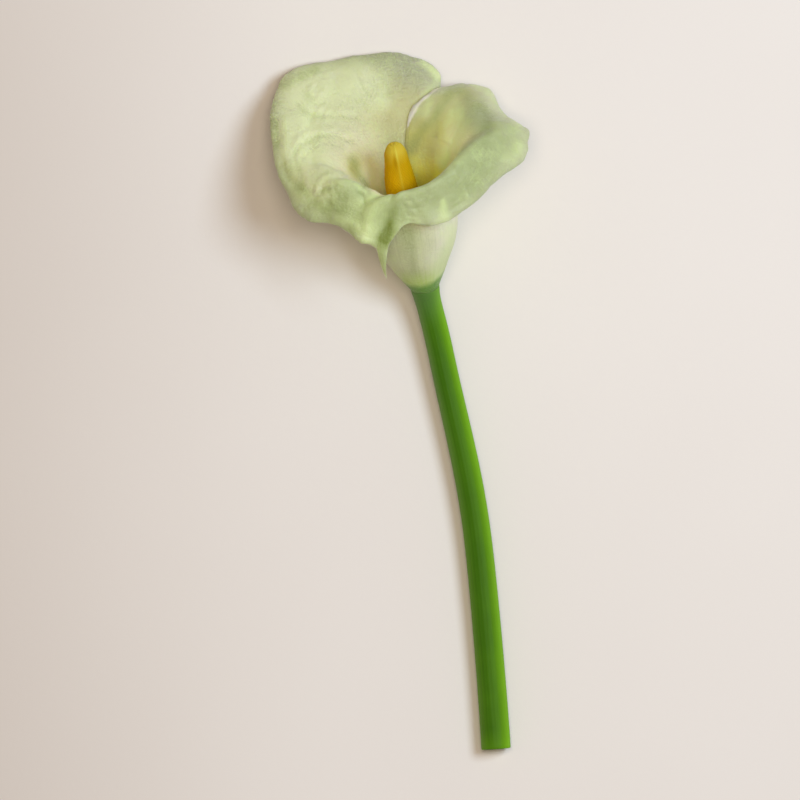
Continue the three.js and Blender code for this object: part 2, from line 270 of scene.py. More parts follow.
# Spathe: one waxy blade, rolled into a funnel and flared, its left margin outside the right one
spathe = {
    "thickness": 1.1,
    "rimThickness": 0.8,
    "marginShare": 0.5,  # the blade thins to this share of itself at its rim
    "seamShare": 0.3,  # and to this share of that at the free margin by the seam
    "layerStep": 1.2,  # between the two layers where the blade overlaps itself
    "layerFade": (40, 110),  # degrees from a margin over which that step fades
    "stepsPerMeridian": 12,
    "stepsByTip": 18,
    "funnelRows": 28,
    "flareRows": 84,
    "funnel": [  # radius and height
        (5.0, -0.4), (7.2, 4), (9.4, 8.2), (13.1, 16), (16.1, 23), (17.8, 31), (18.8, 40),
        (20.2, 49),
    ],
    "sway": -0.5,  # how far the funnel bows to one side
    "swayHeight": 32,
    "heartHeight": 58,  # the rim turns in towards this point of the axis
    "throatRadius": 22.9,
    "throatFrontPinch": 2.2,  # the throat is this much narrower at the front
    "middleShare": 0.5,  # of the way from the throat to the edge
    "middleAtTip": (0.12, 9),  # less by the tip: how much and over how many degrees
    "shoulderShare": 0.62,  # of the way from there to the edge
    "shoulderLift": 0.35,
    "rollIn": 0.45,  # the rim's turn, inwards and down, for each unit of a meridian's last number
    "rollDown": 0.9,
    "rollOut": 1.1,  # a flat rim runs out by up to this much
    "tipDirection": -10,
    "tipHalfWidth": 3.8,
    "tipDraw": Vector((-2.2, -12.7, 0)),
    "tipBend": Vector((0.0145, 0, -0.043)),
    "tipBendStart": 67,
    "creaseDepth": 1.2,
    "creaseWidth": 6,
    "crestWidth": 7,
    "waveHeight": 0.7,
    "crumpleScale": 0.085,
    "crumpleHeight": 0.6,
    "wrinkleScale": 0.24,
    "wrinkleHeight": 0.52,
    "wrinklePatchScale": 0.07,
    "smallFoldReach": (0.03, 0.97),
    "seamTurn": 0.5,  # how far the free margin by the seam turns down
    "seamWidth": 3.6,
    "seamBulge": Vector((-2.4, 0.6, -1.3)),
    "seamBulgeWidth": 11,
    "cream": tone(236, 255, 184),
    "shade": tone(178, 187, 140),
    "front": tone(184, 197, 138),
    "rim": tone(210, 215, 176),
    "top": tone(184, 188, 152),
    "gold": tone(194, 192, 102),
    # the throat's own gold, made brighter deep down as painted light
    "deepGoldLit": tone(252, 252, 96),
    "upperWall": tone(196, 194, 134),
    # the throat's own pale khaki, made brighter as painted light where the throat is shaded
    "litKhaki": tone(246, 242, 192),
    # the darker olive-brown of the painted shade in the throat's left pit
    "pitShade": tone(186, 178, 106),
    "behind": tone(204, 202, 148),
    # crease: olive used for painted shade in fold valleys, dark streaks and the tip's crease, and
    # for the petal's own mottle
    "crease": tone(124, 134, 64),
    # pale: the tone of painted highlights on fold ridges and pale streaks, and of the petal's own
    # light mottle
    "pale": tone(228, 252, 172),
    # edge: the near-white of the painted highlight on the margins and the seam
    "edge": tone(253, 255, 212),
    # the pinkish tone of the painted highlight on the tube's lit right side
    "rosyHighlight": tone(250, 243, 212),
    "outside": tone(250, 254, 210),
    "outsideShade": tone(188, 198, 142),
    "lime": tone(184, 218, 92),
    "foot": tone(108, 160, 50),
    "roughness": 0.46,
    "translucency": 0.6,
    "translucencyDepth": 0.005,
    "skinStrength": 0.9,
    "skinDepth": 0.0006,
    # Meridians of the flare, from the inner margin past the tip to the outer margin: direction
    # round the throat, height of the throat, edge x, y, z, arch midway, how far the rim turns down
    "meridians": [
        (175, 58, 14.3, 130.3, 17, 4, 1.5),
        (160, 58, 23.1, 132.2, 14, 5, 4),
        (140, 58, 33.7, 132.7, 6.1, 6, 7),
        (120, 58, 40.2, 125.2, 18, 7, 5),
        (111, 58.7, 45.2, 118.6, 27, 8.3, 4),
        (102, 59.5, 53.2, 113.3, 36, 9.5, 3),
        (94, 60.8, 54.8, 109.0, 39.5, 9.8, 3),
        (86, 62, 53.9, 104.4, 42, 11, 3),
        (70, 62, 45.0, 97.2, 51, 12, 4),
        (52, 62, 34.4, 85.7, 60, 12.2, 4),
        (34, 60.5, 23.5, 77.3, 64, 11.2, 3),
        (16, 58.5, 10.5, 73.9, 66, 9.8, 1.8),
        (2, 58, 0.8, 72.3, 66.6, 9.2, 1),
        (-5, 58, -3.2, 67.4, 65.8, 9.5, 0.4),
        (-10, 58, -6.9, 63.6, 64.6, 9.2, 0.3),
        (-15, 58, -10.4, 64.4, 64.6, 9.6, 0.4),
        (-32, 58.5, -21, 69.9, 63, 5.1, 2),
        (-42, 59.2, -27.6, 73.2, 60.3, 9.0, 2.4),
        (-52, 60, -34.3, 74.6, 57, 12, 3),
        (-62, 60, -40.0, 78.1, 53.2, 10.3, 3.5),
        (-72, 60, -45.2, 83.2, 49, 8.3, 4),
        (-92, 58, -52.3, 99.8, 37, 4, 5),
        (-112, 58, -53.6, 115.5, 25, 3, 5),
        (-132, 58, -51.7, 131.9, 12, 3, 6),
        (-150, 58, -39.7, 139.9, 6.1, 4, 6),
        (-166, 58, -23.9, 143.8, 5.5, 4, 5),
        (-184, 58, -8.4, 146.5, 5.5, 3, 4),
        (-202, 58, 5.5, 143.9, 6.5, 1, 3),
        (-209, 58, 12.6, 141.3, 6.5, 0.2, 2.2),
        (-215, 58, 17.0, 136.8, 6.5, -0.5, 1.4),
        (-220, 58, 16.5, 133.6, 6.5, -1, 1),
    ],
    # Broad folds of the flare: direction, share of the way to the rim, width round, width along,
    # depth
    "folds": [
        (-126, 0.5, 26, 0.07, 0.7),
        (-100, 0.44, 22, 0.08, 0.9),
        (-84, 0.34, 7, 0.12, -1.6),
        (-64, 0.62, 5, 0.3, 0.6),
        (-40, 0.7, 6, 0.3, -0.6),
        (27, 0.85, 7, 0.25, 0.7),
        (62, 0.75, 6, 0.25, -0.6),
    ],
    # Small folds as seen from above: half width, height towards the eye, and the line they follow
    "smallFolds": [
        (1.1, -0.4, [
            (-43.3, 124.3), (-40.3, 121.2), (-34.9, 119.7), (-26.5, 118.9), (-18.5, 118.6),
        ]),
        (1.7, 0.4, [(-37.0, 123.1), (-32.8, 121.9), (-26.5, 121.3), (-20.2, 121.1)]),
        (1.2, -0.45, [
            (-44.5, 102.5), (-42.4, 106.7), (-38.2, 109.8), (-32.8, 111.1), (-26.9, 110.9),
            (-20, 108),
        ]),
        (1.8, 0.4, [
            (-43.7, 107.9), (-39.9, 111.4), (-34.4, 113.3), (-27.7, 113.3), (-21.8, 111.8),
        ]),
        (1.0, -0.2, [
            (-40.7, 100.8), (-38.2, 105.2), (-33.6, 107.7), (-28.1, 107.7), (-23.5, 105.8),
        ]),
        (2.0, 0.6, [(-48.3, 116.9), (-47.6, 111.3), (-47.9, 105.0), (-46.3, 99.1)]),
        (2.4, -0.6, [(-52.1, 115.9), (-51.9, 111.7), (-51.4, 106.7)]),
        (0.6, -0.3, [(-18.1, 138.6), (-16.8, 134.4), (-15.1, 131.0), (-12.6, 128.1)]),
        (0.8, 0.25, [(-16.4, 138.6), (-15.1, 134.8), (-13.2, 131.5)]),
        (0.7, 0.3, [(-4.6, 144.1), (-3.8, 141.1), (-1.7, 138.2)]),
        (0.8, 0.25, [(-0.4, 142.8), (0.0, 139.9), (1.3, 136.9)]),
        (2.0, -0.6, [(-31.5, 88.6), (-29.8, 89.5), (-28.0, 89.9)]),
        (1.2, 0.6, [(-34.8, 86.9), (-34.4, 89.9), (-32.7, 92.4), (-29.8, 93.9), (-25, 94.3)]),
        (1.8, -0.5, [(-47.9, 94.1), (-44.9, 91.6), (-41.6, 88.2)]),
        (1.5, -0.3, [(-42.0, 95.8), (-40.7, 91.6), (-38.2, 87.4)]),
        (0.9, -0.4, [(-16.4, 86.9), (-15.1, 84.8), (-14.7, 82.3)]),
        (2.6, 0.8, [(-11.3, 85.3), (-12.2, 79.0), (-13.6, 72.2), (-14.3, 67.2)]),
        (1.6, -0.6, [(-26.0, 71.8), (-22.7, 71.4), (-19.7, 69.7)]),
        (1.8, 0.5, [(-26.9, 76.0), (-22.7, 75.2), (-18.1, 73.1)]),
        (0.6, 0.3, [(31.9, 94.1), (34.0, 91.1), (36.1, 89.0)]),
        (0.6, 0.35, [(26.0, 89.9), (27.7, 87.4), (28.6, 84.8)]),
        (0.6, -0.35, [(27.2, 90.6), (28.8, 88.2), (29.6, 85.8)]),
        (0.6, 0.3, [(29.4, 92.0), (30.7, 89.0), (31.5, 86.5)]),
        (1.4, -0.35, [(29.4, 109.2), (34.4, 111.7), (39.5, 111.3), (43.3, 108.4)]),
        (2.2, 0.7, [(44.9, 100.8), (47.9, 102.9), (50.4, 106.3)]),
        (2.4, -0.6, [(34.4, 122.6), (37.0, 118.4), (37.8, 114.2)]),
        (2.0, 0.5, [(37.4, 130.2), (42.0, 125.2), (46.6, 120.1)]),
        (2.0, -0.4, [(15.5, 121.0), (15.1, 115.1), (14.3, 108.4)]),
        (2.2, 0.4, [(20.6, 121.0), (20.2, 114.2), (19.3, 105.8)]),
        (1.2, -0.25, [(6.3, 81.9), (8.8, 77.7), (10.9, 73.9)]),
        (1.1, -0.25, [(2.1, 82.3), (3.8, 78.5), (5.0, 74.8)]),
        (2.2, 0.5, [(18.5, 82.7), (18.9, 79.0), (19.7, 76.0)]),
    ],
    # Paler (above 0) and darker streaks, on the inner face or the outer one, partly the petal's own
    # colour and partly painted shade in creases and hollows and painted highlights on ridges and
    # lit patches: half width and strength where the streak starts and where it ends, and the line
    # it follows from above
    "streaks": [
        ("inner", 2.2, -0.2, 2.6, -2.0, [(-0.6, 84.0), (-3.0, 76.0), (-5.0, 71.0), (-6.2, 67.5)]),
        ("inner", 2.4, -0.15, 2.0, -0.25, [(3.0, 80.0), (0.5, 75.5), (-2.0, 71.0)]),
        ("inner", 3.0, 0.05, 4.4, 0.4, [(-11.4, 82.0), (-12.6, 75.0), (-14.6, 68.5)]),
        ("inner", 1.2, 0.2, 0.8, 0.7, [(-23.5, 94.5), (-19.5, 91.0), (-16.5, 88.2), (-14.2, 87.0)]),
        ("inner", 0.5, 0.8, 0.5, 0.9, [(-5.2, 62.5), (-4.8, 58.0), (-4.2, 54.0)]),
        ("inner", 1.0, 0.5, 3.6, 0.75, [(18.0, 83.5), (18.2, 79.5), (18.8, 75.5)]),
        ("inner", 1.8, 0.5, 2.2, 0.3, [(-48.0, 118.0), (-47.0, 110.0), (-47.8, 106.0)]),
        ("inner", 3.2, -0.25, 3.0, -0.2, [(-43.0, 99.0), (-41.0, 92.0)]),
        ("inner", 2.2, -0.15, 2.6, -0.15, [(-51.8, 114.5), (-51.5, 108.5)]),
        ("inner", 1.8, 1.0, 2.0, 1.1, [(10.0, 141.5), (13.5, 139.0), (16.0, 136.5)]),
        ("inner", 3.0, 0.3, 3.4, 0.1, [(50.5, 106.0), (46.0, 100.5)]),
        ("inner", 3.0, -0.3, 3.4, -0.2, [(34.0, 122.5), (36.5, 115.0), (36.0, 108.0)]),
        ("inner", 2.6, 0.5, 3.4, 0.8, [(-37.5, 93.0), (-33.5, 91.0), (-30.0, 92.5)]),
        ("inner", 2.0, 0.8, 2.2, 0.6, [(31.5, 133.0), (36.5, 130.6), (42.5, 124.0), (50.0, 116.5)]),
        ("inner", 3.2, 0.3, 3.0, 1.1, [(25.0, 123.0), (25.6, 113.0), (22.6, 105.0), (19.0, 99.5)]),
        ("inner", 2.6, 0.55, 2.2, 0.5, [(12.4, 125.5), (11.4, 119.5)]),
        ("inner", 3.0, -0.35, 2.6, -0.6, [
            (19.5, 126.5), (13.0, 118.5), (8.8, 112.0), (5.5, 106.0),
        ]),
        ("inner", 2.2, -0.4, 1.7, -0.8, [
            (-20.0, 101.5), (-18.8, 98.0), (-17.0, 93.5), (-14.4, 90.0),
        ]),
        ("inner", 3.0, -0.45, 3.0, -0.4, [(-28.5, 82.5), (-24.5, 79.5)]),
        ("inner", 2.4, -0.25, 2.2, -0.25, [(-28.0, 87.5), (-22.5, 85.5)]),
        ("inner", 2.2, -0.4, 2.2, -0.4, [(-49.0, 131.8), (-42.0, 136.0), (-35.0, 138.6)]),
        ("inner", 2.2, -0.17, 2.2, -0.2, [(-38.5, 128.5), (-33.6, 121.5)]),
        ("inner", 2.4, -0.35, 2.6, -0.3, [
            (-42.0, 88.4), (-37.8, 84.0), (-33.0, 81.5), (-29.0, 77.5),
        ]),
        ("inner", 2.6, -0.4, 2.6, -0.25, [(21.5, 130.3), (27.5, 129.4), (30.0, 123.5)]),
        ("inner", 3.0, 0.2, 3.0, 0.2, [(-28.0, 129.0), (-22.0, 131.0)]),
        ("inner", 2.2, -0.2, 2.2, -0.2, [(10.0, 83.6), (15.0, 85.0)]),
        ("inner", 1.8, -0.45, 1.8, -0.5, [(-17.0, 86.8), (-12.5, 87.0)]),
        ("inner", 2.2, -0.35, 2.2, -0.45, [(-46.8, 102.0), (-46.6, 97.0)]),
        ("inner", 2.0, -0.4, 1.8, -0.35, [(-34.5, 87.5), (-29.5, 88.2)]),
        ("inner", 1.8, 0.4, 1.8, 0.5, [(15.2, 133.5), (10.5, 128.2)]),
        ("inner", 2.2, 0.3, 2.2, 0.35, [(1.0, 72.2), (7.5, 74.5)]),
        ("inner", 1.6, -0.3, 1.6, -0.3, [(18.5, 92.5), (23.0, 97.0)]),
        ("inner", 1.6, -0.25, 1.6, -0.25, [(5.0, 87.2), (11.0, 89.0)]),
        ("outer", 1.8, 0.3, 1.8, 0.3, [(-3.0, 60.0), (-2.6, 55.0)]),
        ("outer", 3.4, -0.5, 1.8, -0.25, [(3.5, 71.0), (4.6, 64.0), (6.0, 54.5)]),
        ("outer", 3.0, 0.8, 3.2, 0.7, [(20.8, 72.0), (20.0, 64.0), (16.0, 55.0)]),
    ],
}


def ringPoint(direction, radius, height):
    angle = math.radians(direction)
    sway = spathe["sway"] * math.sin(min(height / spathe["swayHeight"], 1) * math.pi)
    return bloomPoint(radius * math.sin(angle) + sway, radius * math.cos(angle), height)


# Rows of the blade from the stem to the rim, each a curve over the meridians
def bladeRows():
    meridians = spathe["meridians"]
    directions = [-row[0] for row in meridians]
    first, final = directions[0], directions[-1]
    near, far = spathe["layerFade"]

    def layer(direction):
        inner = 1 - smoothStep(first + near, first + far, direction)
        outer = smoothStep(final - far, final - near, direction)
        return (outer - inner) * spathe["layerStep"] * 0.5

    heart = bloomPoint(0, 0, spathe["heartHeight"])
    tipLess, tipWide = spathe["middleAtTip"]
    rows = []
    for radius, height in spathe["funnel"]:
        rows.append([ringPoint(row[0], radius + layer(-row[0]), height) for row in meridians])
    throat, middle, shoulder, edge, rim = [], [], [], [], []
    for direction, height, x, y, z, arch, roll in meridians:
        pinch = spathe["throatFrontPinch"] * math.cos(math.radians(direction))
        radius = spathe["throatRadius"] - pinch + layer(-direction)
        throat.append(ringPoint(direction, radius, height))
        edge.append(Vector((x, y, z)))
        share = spathe["middleShare"] - tipLess * bell(direction, spathe["tipDirection"], tipWide)
        middle.append(throat[-1].lerp(edge[-1], share) + along * arch)
        onward = middle[-1].lerp(edge[-1], spathe["shoulderShare"])
        shoulder.append(onward + along * spathe["shoulderLift"] * roll)
        inward = heart - edge[-1]
        inward.z = 0
        turnIn = spathe["rollIn"] * roll - spathe["rollOut"] * math.exp(-roll)
        turned = edge[-1] + inward.normalized() * turnIn
        turned.z = z - spathe["rollDown"] * roll
        rim.append(turned)
    rows += [throat, middle, shoulder, edge, rim]
    return [curveThrough(directions, row) for row in rows]


# Lines of points up the blade, one for each direction round it
def bladeLines():
    rows = bladeRows()
    meridians = spathe["meridians"]
    throatRow = len(spathe["funnel"])
    lines, directions = [], []
    for m in range(len(meridians) - 1):
        start, end = -meridians[m][0], -meridians[m + 1][0]
        byTip = -spathe["tipDirection"] in (start, end)
        steps = spathe["stepsByTip"] if byTip else spathe["stepsPerMeridian"]
        for s in range(steps + (1 if m == len(meridians) - 2 else 0)):
            direction = mixed(start, end, s / steps)
            stations = [row(direction) for row in rows]
            knots = rootKnots(stations)
            curve = curveThrough(knots, stations)
            line = evenPoints(curve, 0, knots[throatRow], spathe["funnelRows"])[:-1]
            line += evenPoints(curve, knots[throatRow], knots[-1], spathe["flareRows"])
            lines.append(line)
            directions.append(-direction)
    return lines, directions


# Unit normals of the lines' grid, pointing to the outside of the flower
def bladeNormals(lines, rounds):
    lastLine, lastRow = len(lines) - 1, len(lines[0]) - 1
    normals = []
    for i, line in enumerate(lines):
        left, right = lines[max(i - 1, 0)], lines[min(i + 1, lastLine)]
        normals.append([
            (line[min(j + 1, lastRow)] - line[max(j - 1, 0)]).cross(right[j] - left[j]).normalized()
            for j in range(lastRow + 1)
        ])
    for _ in range(rounds):
        normals = [
            [
                (line[j] + normals[max(i - 1, 0)][j] + normals[min(i + 1, lastLine)][j]
                 + line[max(j - 1, 0)] + line[min(j + 1, lastRow)]).normalized()
                for j in range(lastRow + 1)
            ]
            for i, line in enumerate(normals)
        ]
    return normals


def foldHeight(direction, reach):
    height = 0
    for centre, level, wide, long, rise in spathe["folds"]:
        height += rise * bell(direction, centre, wide) * bell(reach, level, long)
    return height


def tipShare(direction, reach):
    tongue = max(0.0, 1 - abs(direction - spathe["tipDirection"]) / spathe["tipHalfWidth"]) ** 1.2
    return tongue * smoothStep(0.62, 1, reach) ** 1.2


# How far a spot lies from a path as seen from above, and how far along it the nearest point is
def nearPath(spot, path):
    flat = Vector((spot.x, spot.y))
    best, at, last = 1e9, 0, len(path) - 1
    for i in range(last):
        start, end = Vector(path[i]), Vector(path[i + 1])
        share = geometry.intersect_point_line(flat, start, end)[1]
        share = min(1.0, max(0.0, share))
        distance = (start.lerp(end, share) - flat).length
        if distance < best:
            best, at = distance, (i + share) / last
    return best, at


# A quick test that leaves out the paths that a spot is nowhere near
def faraway(spot, path, span):
    x, y = path[len(path) // 2]
    reach = max(abs(path[0][0] - path[-1][0]), abs(path[0][1] - path[-1][1])) + span
    return abs(spot.x - x) > reach or abs(spot.y - y) > reach


def smallFoldAt(spot):
    height = 0
    for width, rise, path in spathe["smallFolds"]:
        if not faraway(spot, path, width * 3):
            height += rise * bell(nearPath(spot, path)[0], 0, width)
    return height


def streakAt(spot, face):
    total = 0
    for where, startWidth, startShade, endWidth, endShade, path in spathe["streaks"]:
        if where == face and not faraway(spot, path, max(startWidth, endWidth) * 3):
            distance, share = nearPath(spot, path)
            width = mixed(startWidth, endWidth, share)
            total += mixed(startShade, endShade, share) * bell(distance, 0, width)
    return total


# How far the blade stands out at a spot: the crease of the tip, waves, broad folds and wrinkles
def liftAt(direction, reach, spot):
    away = abs(direction - spathe["tipDirection"])
    valley = smoothStep(0.2, 0.5, reach) * (1 - smoothStep(0.55, 0.85, reach))
    crease = bell(away, 0, spathe["creaseWidth"]) * valley * spathe["creaseDepth"]
    wave = math.sin(direction * 0.14 + 1) + 0.6 * math.sin(direction * 0.23)
    inMargin = min(spathe["meridians"][0][0] - direction, direction - spathe["meridians"][-1][0])
    calm = smoothStep(0, 40, inMargin) * smoothStep(5, 25, away)
    sway = wave * spathe["waveHeight"] * smoothStep(0.55, 1, reach) * calm
    crumple = noise.noise(spot * spathe["crumpleScale"]) * spathe["crumpleHeight"]
    elsewhere = spot * spathe["wrinklePatchScale"] + Vector((40, 0, 0))
    patch = smoothStep(-0.25, 0.3, noise.noise(elsewhere))
    wrinkle = noise.fractal(spot * spathe["wrinkleScale"], 0.7, 2.1, 3)
    wrinkle = wrinkle * spathe["wrinkleHeight"] * patch
    rough = (crumple + wrinkle) * smoothStep(0.08, 0.5, reach) * smoothStep(2, 9, away)
    return sway + crease + foldHeight(direction, reach) + rough


# The blade's middle surface is bent from a grid, doubled into an inner and an outer skin, and
# the two are bridged round the margin
def makeSpathe(material):
    lines, directions = bladeLines()
    columns, rows = len(lines), len(lines[0])
    funnelRows, flareRows = spathe["funnelRows"], spathe["flareRows"]
    reaches = [max(0.0, (j - funnelRows) / flareRows) for j in range(rows)]
    normals = bladeNormals(lines, 4)
    low, high = spathe["smallFoldReach"]
    small = [
        [smallFoldAt(point) if low < reaches[j] < high else 0 for j, point in enumerate(line)]
        for line in lines
    ]
    lines = [
        [
            point + normals[i][j] * (liftAt(directions[i], reaches[j], point) - small[i][j])
            for j, point in enumerate(line)
        ]
        for i, line in enumerate(lines)
    ]
    normals = bladeNormals(lines, 2)
    fromSeam = [[0.0] * rows]
    for i in range(1, columns):
        before, here = lines[i - 1], lines[i]
        fromSeam.append([fromSeam[-1][j] + (here[j] - before[j]).length for j in range(rows)])

    bm = bmesh.new()
    layers = newLayers(
        bm, "reach", "climb", "turn", "margin", "nearTip", "fold", "seam", "streak", "inside"
    )
    insideLayer, streakLayer = layers[-1], layers[-2]
    outward, half = {}, {}
    for vert, i, j in gridPoints(bm, columns - 1, rows - 1):
        direction, reach = directions[i], reaches[j]
        drawn = tipShare(direction, reach)
        placed = lines[i][j] + spathe["tipDraw"] * drawn
        away = abs(direction - spathe["tipDirection"])
        nearTip = smoothStep(0.4, 0.6, reach) * (1 - smoothStep(5, 14, away))
        past = max(0.0, spathe["tipBendStart"] - placed.y) * nearTip
        slope = spathe["tipDraw"].normalized() + spathe["tipBend"] * (2 * past)
        tipNormal = sideways.cross(slope).normalized()
        normal = normals[i][j].lerp(tipNormal, smoothStep(0, 0.15, drawn)).normalized()
        seamShape = smoothStep(0.08, 0.5, reach) * (1 - smoothStep(0.6, 1.0, reach) * 0.35)
        seamWidth = spathe["seamWidth"] * (seamShape + smoothStep(0.45, 0.8, reach) * 0.7)
        fromMargin = fromSeam[i][j] / (seamWidth + 0.01)
        seam = (1 - smoothStep(0, 1, fromMargin)) * seamShape
        seamMark = (1 - smoothStep(0.7, 1.1, fromMargin)) * smoothStep(0.0, 0.25, seamShape)
        turned = normal * (seam * seam * spathe["seamTurn"])
        placed = placed + spathe["tipBend"] * (past * past) + turned
        bulge = 1 - smoothStep(0, spathe["seamBulgeWidth"], fromSeam[i][j])
        bulge = bulge * bell(reach, 0.5, 0.3)
        placed = placed + spathe["seamBulge"] * bulge
        edge = min(columns - 1 - i, rows - 1 - j)
        byRim = mixed(spathe["marginShare"], 1, smoothStep(-0.5, 2.5, edge))
        bySeam = mixed(spathe["seamShare"], 1, smoothStep(-0.5, 4, i))
        thickness = mixed(spathe["thickness"], spathe["rimThickness"], reach) * (byRim * bySeam)
        vert.co = placed
        outward[vert], half[vert] = normal, thickness / 2
        crest = bell(away, 0, spathe["crestWidth"]) * smoothStep(0.15, 0.7, reach)
        margin = 1 - smoothStep(0, 3, edge)
        climb = min(1.0, j / funnelRows)
        marks = (reach, climb, direction / 180, margin, crest, small[i][j], seamMark)
        for layer, value in zip(layers, marks):
            vert[layer] = value

    copied = bmesh.ops.duplicate(bm, geom=bm.verts[:] + bm.edges[:] + bm.faces[:])["vert_map"]
    innerVerts = [(vert, copied[vert]) for vert in outward]
    for vert, inner in innerVerts:
        inner[insideLayer] = 1
        inner[streakLayer] = streakAt(vert.co, "inner")
        vert[streakLayer] = streakAt(vert.co, "outer")
        inner.co = vert.co - outward[vert] * half[vert]
        vert.co = vert.co + outward[vert] * half[vert]
    innerSet = {inner for _, inner in innerVerts}
    innerFaces = [face for face in bm.faces if face.verts[0] in innerSet]
    bmesh.ops.reverse_faces(bm, faces=innerFaces)
    margins = [edge for edge in bm.edges if edge.is_boundary]
    bmesh.ops.bridge_loops(bm, edges=margins)
    bmesh.ops.recalc_face_normals(bm, faces=bm.faces[:])
    for vert in bm.verts:
        vert.co = (vert.co + frameShift) * mm
    print("spathe", len(bm.verts), "points")
    return newPiece("spathe_blade", bm, "spathe", material)


def spatheMaterial():
    s = Shader("waxyPetal")
    reach, climb, inside = s.attribute("reach"), s.attribute("climb"), s.attribute("inside")
    turn = s.attribute("turn") * 180.0
    margin, nearTip = s.attribute("margin"), s.attribute("nearTip")
    fold, seam, streak = s.attribute("fold"), s.attribute("seam"), s.attribute("streak")
    place = s.place()
    cloud = s.noise(place, 42, 3, 0.55) - 0.5
    mottle = s.noise(place, 230, 4, 0.65) - 0.5
    fine = s.noise(place, 900, 3, 0.65) - 0.5
    blotch = s.noise(place, 95, 2, 0.55) - 0.5
    patches = s.noise(place, 34, 2, 0.5).between(0.4, 0.62)
    strands = s.noise(s.joined(turn * 0.22, reach * 1.4 + climb, inside * 3), 1.0, 3, 0.65) - 0.5
    rays = s.joined(turn * 0.7, reach * 11.0 + climb * 5, inside * 3)
    scratches = s.noise(rays, 1.0, 4, 0.7) - 0.5
    rough = (turn * -1.0).between(50, 90) * inside * 0.8
    leather = (scratches * 0.7 + fine * 0.8) * (0.35 + patches * 0.65) * (1 + rough)
    far = reach + cloud * 0.22 + mottle * 0.05
    round_ = turn + cloud * 30.0

    # inner face: cream on the left lobe, greener over the lip and right lobe, gold in the throat
    left = (round_ * -1.0).between(42, 66) * (1 - (round_ * -1.0).between(175, 215) * 0.4)
    wider = far - round_.bell(-135, 34) * 0.16
    bright = left * (1 - wider.between(0.56, 0.94))
    front = round_.bell(-22, 34) + cloud * 0.5
    base = s.blend(front.clamped(), spathe["shade"], spathe["front"])
    colour = s.blend(bright.clamped(), base, spathe["cream"])
    rightRim = far.between(0.62, 0.95) * round_.between(5, 30)
    colour = s.blend((rightRim * 0.6).clamped(), colour, spathe["rim"])
    # a faint darker olive over the right side round direction 55
    colour = s.blend(turn.bell(55, 24) * 0.2, colour, spathe["crease"])
    topBand = (round_ * -1.0).between(174, 196) * far.between(0.15, 0.55)
    colour = s.blend((topBand * 0.9).clamped(), colour, spathe["top"])
    # painted shade: the left lobe's rim, which rolls away, is darker
    leftRimShade = left * far.between(0.76, 0.98)
    colour = s.blend((leftRimShade * 0.25).clamped(), colour, spathe["top"])
    right = turn.between(92, 128)
    upper = turn.between(112, 142) * (1 - far.between(0.55, 0.98))
    colour = s.blend((upper * (0.75 + strands)).clamped(), colour, spathe["upperWall"])
    wall = (1 - reach.between(0.0, 0.42)) * right
    colour = s.blend((wall * (0.9 + strands * 0.8)).clamped(), colour, spathe["gold"])
    # painted light: the deep throat's gold is made brighter, standing in for light that its walls
    # shut out
    low = right * (1 - climb.between(0.77, 0.95))
    colour = s.blend(low.clamped(), colour, spathe["deepGoldLit"])
    # painted light: a pale khaki pocket low on the right wall, where the throat lies in shade
    litPocket = turn.bell(109, 24) * (1 - reach.between(0.05, 0.4)) * climb.between(0.7, 0.9)
    colour = s.blend((litPocket * (0.95 + strands * 0.4)).clamped(), colour, spathe["litKhaki"])
    upperRim = far.between(0.52, 0.8) * turn.between(96, 118)
    colour = s.blend((upperRim * 0.85).clamped(), colour, spathe["rim"])
    # painted light: pale khaki beside and below the spadix, where its shadow and the walls' shade
    # fall
    deep = (1 - reach.between(0.04, 0.45 - round_.bell(-10, 60) * 0.3)) * (1 - turn.between(20, 60))
    colour = s.blend((deep * (0.85 + strands * 0.8)).clamped(), colour, spathe["litKhaki"])
    backwards = turn * -1.0
    behind = backwards.between(140, 176) * (1 - reach.between(0.14, 0.4)) * 1.1
    behind = behind + backwards.between(172, 190) * (1 - reach.between(0.3, 0.8))
    colour = s.blend(behind.clamped(), colour, spathe["behind"])
    # painted shade: darker olive-brown at the left of the throat, where the funnel meets the flare
    pitShade = (reach + climb).bell(1.0, 0.08) * turn.bell(-112, 20)
    colour = s.blend((pitShade * (0.95 + strands * 0.5)).clamped(), colour, spathe["pitShade"])
    # painted shade along the tip's midrib crease
    colour = s.blend((nearTip * (0.2 + strands * 0.6)).clamped(), colour, spathe["crease"])

    # outer face: pale, with painted shade on the left and a pinkish painted highlight on the lit
    # right, green at its foot
    shaded = 1 - round_.between(-15, 55)
    dim = (shaded * 0.8 + strands * 0.5).clamped()
    tube = s.blend(dim, spathe["outside"], spathe["outsideShade"])
    # painted highlight: lighter and pinkish on the tube's lit right side
    rosyHighlight = round_.bell(28, 26) * climb.between(0.55, 0.95)
    tube = s.blend((rosyHighlight * 0.6).clamped(), tube, spathe["rosyHighlight"])
    limeTop = 0.42 + turn.between(10, 80) * 0.4
    limeShare = (1 - climb.between(0.12, limeTop)) * (0.8 + strands)
    tube = s.blend(limeShare.clamped(), tube, spathe["lime"])
    footLine = climb + strands * 0.04 - turn.between(0, 90) * 0.06
    rings = (climb * 330.0).sine() * (1 - climb.between(0.06, 0.12))
    tube = s.blend(1 - footLine.between(0.08, 0.17), tube, spathe["foot"])
    colour = s.blend(inside, tube, colour)

    # folds, margins and the fine cells of the skin: painted shade in fold valleys and dark streaks,
    # painted highlights on fold ridges, pale streaks and margins, and the petal's own mottle
    uneven = 1 + cloud * 0.9 + leather * 1.5
